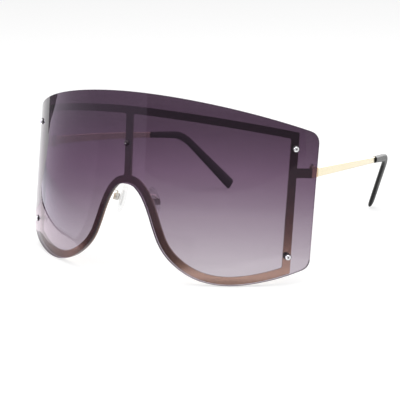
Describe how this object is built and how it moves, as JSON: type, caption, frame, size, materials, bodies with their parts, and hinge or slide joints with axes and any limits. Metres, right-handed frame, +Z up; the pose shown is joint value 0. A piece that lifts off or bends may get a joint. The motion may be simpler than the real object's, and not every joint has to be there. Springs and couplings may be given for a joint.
{
  "type": "sunglasses",
  "caption": "Oversized shield sunglasses: one gradient wraparound lens screwed onto a flat metal frame, with thin folding temples and rocking nose pads.",
  "frame": {"origin": "centre of the footprint, on the table that the lens lobes and the two temple tips stand on", "axes": "+X to the wearer's left, +Y back along the temples, +Z up"},
  "size_m": [0.1496, 0.1676, 0.0814],
  "materials": {
    "tinted_lens": "polished, purple-grey tint that fades to pale at the bottom",
    "gold_metal": "polished pale gold plating",
    "bright_steel": "polished",
    "black_tip": "semi-gloss black",
    "clear_silicone": "soft, clear"
  },
  "bodies": {
    "front": {"lens": "tinted_lens", "frame_front": "gold_metal", "lens_screw_centre": "bright_steel", "cap_nut_centre": "bright_steel", "lens_screw_upper_left": "bright_steel", "cap_nut_upper_left": "bright_steel", "lens_screw_upper_right": "bright_steel", "cap_nut_upper_right": "bright_steel", "lens_screw_lower_left": "bright_steel", "cap_nut_lower_left": "bright_steel", "lens_screw_lower_right": "bright_steel", "cap_nut_lower_right": "bright_steel", "hinge_front_left": "gold_metal", "hinge_screw_left": "bright_steel", "pad_arm_left": "gold_metal", "pad_box_left": "gold_metal", "pad_screw_left": "bright_steel", "hinge_front_right": "gold_metal", "hinge_screw_right": "bright_steel", "pad_arm_right": "gold_metal", "pad_box_right": "gold_metal", "pad_screw_right": "bright_steel"},
    "temple_left_arm": {"temple_left": "gold_metal", "temple_tip_left": "black_tip", "hinge_rear_left": "gold_metal"},
    "temple_right_arm": {"temple_right": "gold_metal", "temple_tip_right": "black_tip", "hinge_rear_right": "gold_metal"},
    "pad_left": {"nose_pad_left": "clear_silicone", "pad_insert_left": "clear_silicone"},
    "pad_right": {"nose_pad_right": "clear_silicone", "pad_insert_right": "clear_silicone"}
  },
  "joints": [
    {"name": "temple_left_fold", "type": "hinge", "parent": "front", "child": "temple_left_arm", "pos_m": [0.06997, -0.04161, 0.04623], "axis": [0, 0.1038, 0.9946], "range_deg": [0, 84]},
    {"name": "temple_right_fold", "type": "hinge", "parent": "front", "child": "temple_right_arm", "pos_m": [-0.06997, -0.04161, 0.04623], "axis": [0, -0.1038, -0.9946], "range_deg": [0, 77]},
    {"name": "pad_left_rock", "type": "hinge", "parent": "front", "child": "pad_left", "pos_m": [0.0106, -0.07432, 0.03275], "axis": [0.3746, 0.9222, -0.0962], "range_deg": [-10, 10]},
    {"name": "pad_right_rock", "type": "hinge", "parent": "front", "child": "pad_right", "pos_m": [-0.0106, -0.07432, 0.03275], "axis": [-0.3746, 0.9222, -0.0962], "range_deg": [-10, 10]}
  ]
}
